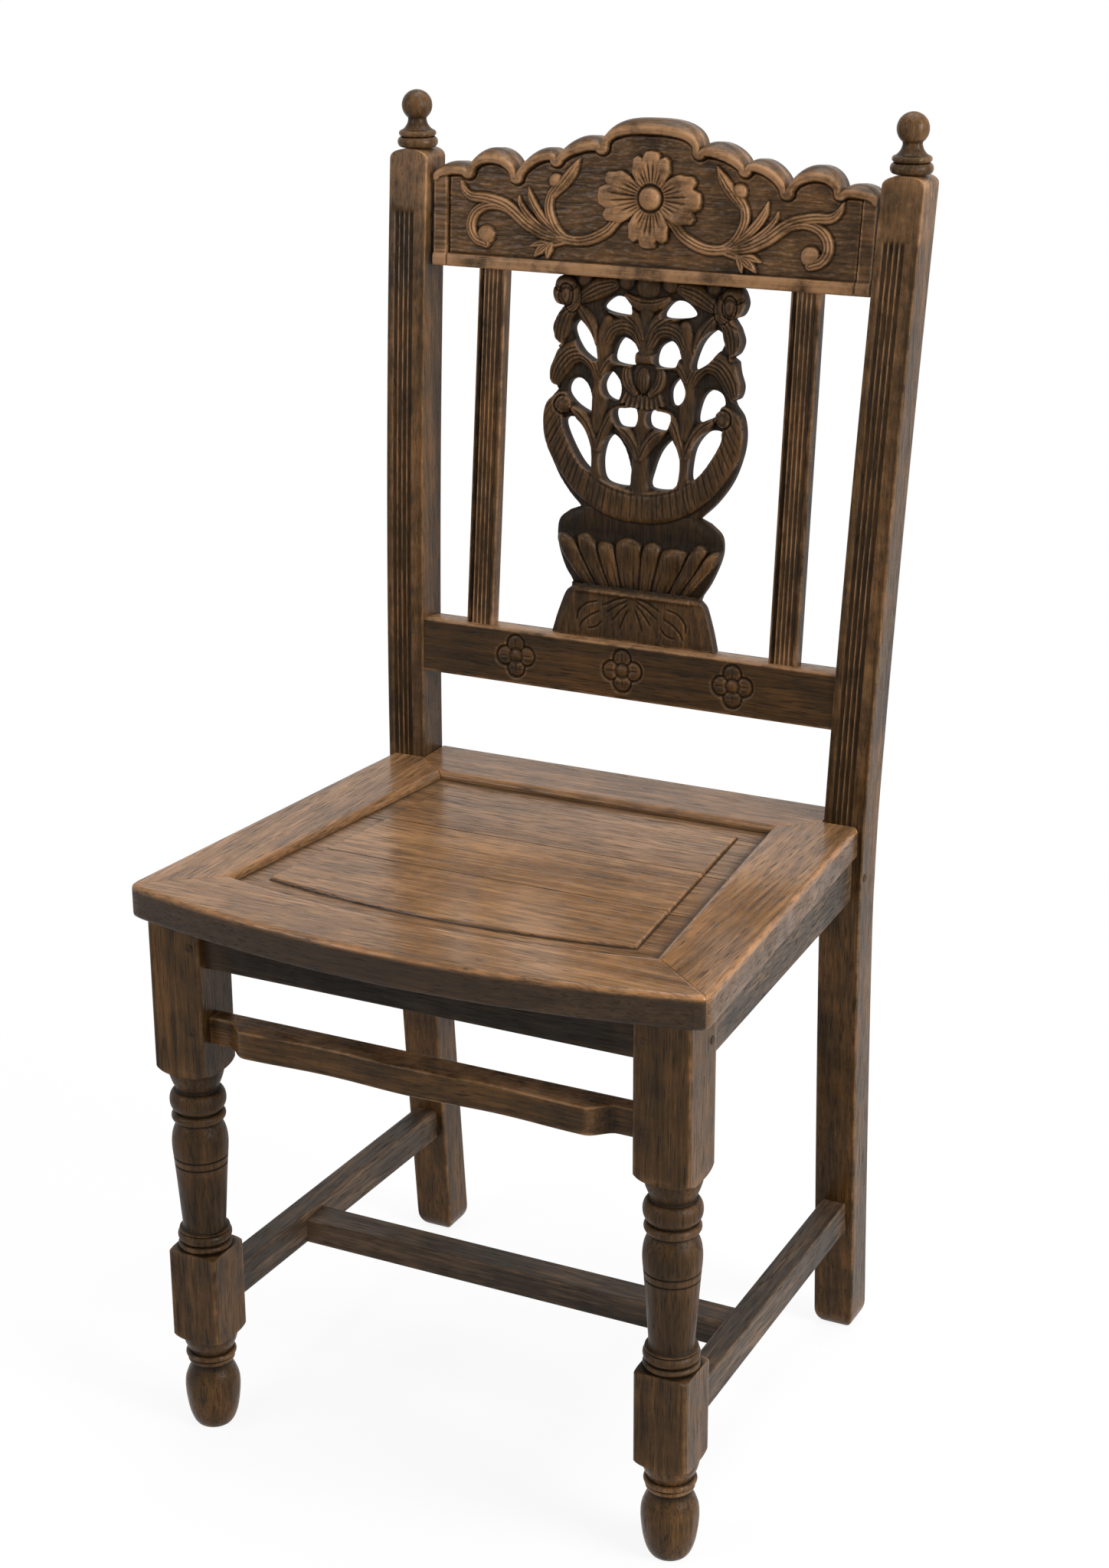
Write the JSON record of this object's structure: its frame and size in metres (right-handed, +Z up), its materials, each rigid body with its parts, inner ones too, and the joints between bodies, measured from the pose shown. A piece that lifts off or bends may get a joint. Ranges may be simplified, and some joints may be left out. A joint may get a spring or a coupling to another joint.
{
  "type": "side chair",
  "caption": "Joined oak side chair with turned front legs, raked posts with ball finials, a scalloped carved crest, a pierced carved splat, a panelled seat and an H stretcher.",
  "frame": {"origin": "on the floor, under the middle of the chair's overall box", "axes": "+Z up, -Y towards the front of the seat, +X towards the sitter's left hand"},
  "size_m": [0.4656, 0.4579, 0.9961],
  "materials": {
    "oak_dark": "dark aged oak, waxed",
    "oak_seat": "mid-brown oak, polished by use",
    "oak_plain": "greyed brown oak, dull wax",
    "oak_pegs": "dark end grain"
  },
  "bodies": {
    "root": {"rear_post_left": "oak_dark", "rear_post_right": "oak_dark", "finial_left": "oak_dark", "finial_right": "oak_dark", "crest_rail": "oak_dark", "lower_back_rail": "oak_dark", "splat": "oak_dark", "back_slat_left": "oak_dark", "back_slat_right": "oak_dark", "front_leg_left": "oak_dark", "front_leg_right": "oak_dark", "front_stretcher": "oak_dark", "seat_frame_front": "oak_seat", "seat_frame_left": "oak_seat", "seat_frame_right": "oak_seat", "seat_frame_back": "oak_seat", "seat_panel_front": "oak_seat", "seat_panel_middle": "oak_seat", "seat_panel_back": "oak_seat", "apron_front": "oak_plain", "apron_back": "oak_plain", "apron_left": "oak_plain", "apron_right": "oak_plain", "side_stretcher_left": "oak_plain", "side_stretcher_right": "oak_plain", "cross_stretcher": "oak_plain", "seat_glue_block_left_front": "oak_plain", "seat_glue_block_left_rear": "oak_plain", "seat_glue_block_right_front": "oak_plain", "seat_glue_block_right_rear": "oak_plain", "seat_glue_block_back": "oak_plain", "seat_mitre_key_front_left": "oak_plain", "seat_mitre_key_front_right": "oak_plain", "seat_mitre_key_back_left": "oak_plain", "seat_mitre_key_back_right": "oak_plain", "peg_front_apron_left": "oak_pegs", "peg_front_apron_right": "oak_pegs", "peg_front_stretcher_left": "oak_pegs", "peg_front_stretcher_right": "oak_pegs", "peg_side_apron_front_left": "oak_pegs", "peg_side_apron_front_right": "oak_pegs", "peg_side_apron_rear_left": "oak_pegs", "peg_side_apron_rear_right": "oak_pegs", "peg_back_apron_left": "oak_pegs", "peg_back_apron_right": "oak_pegs", "peg_lower_rail_left": "oak_pegs", "peg_lower_rail_right": "oak_pegs", "peg_crest_left": "oak_pegs", "peg_crest_right": "oak_pegs"}
  },
  "joints": []
}
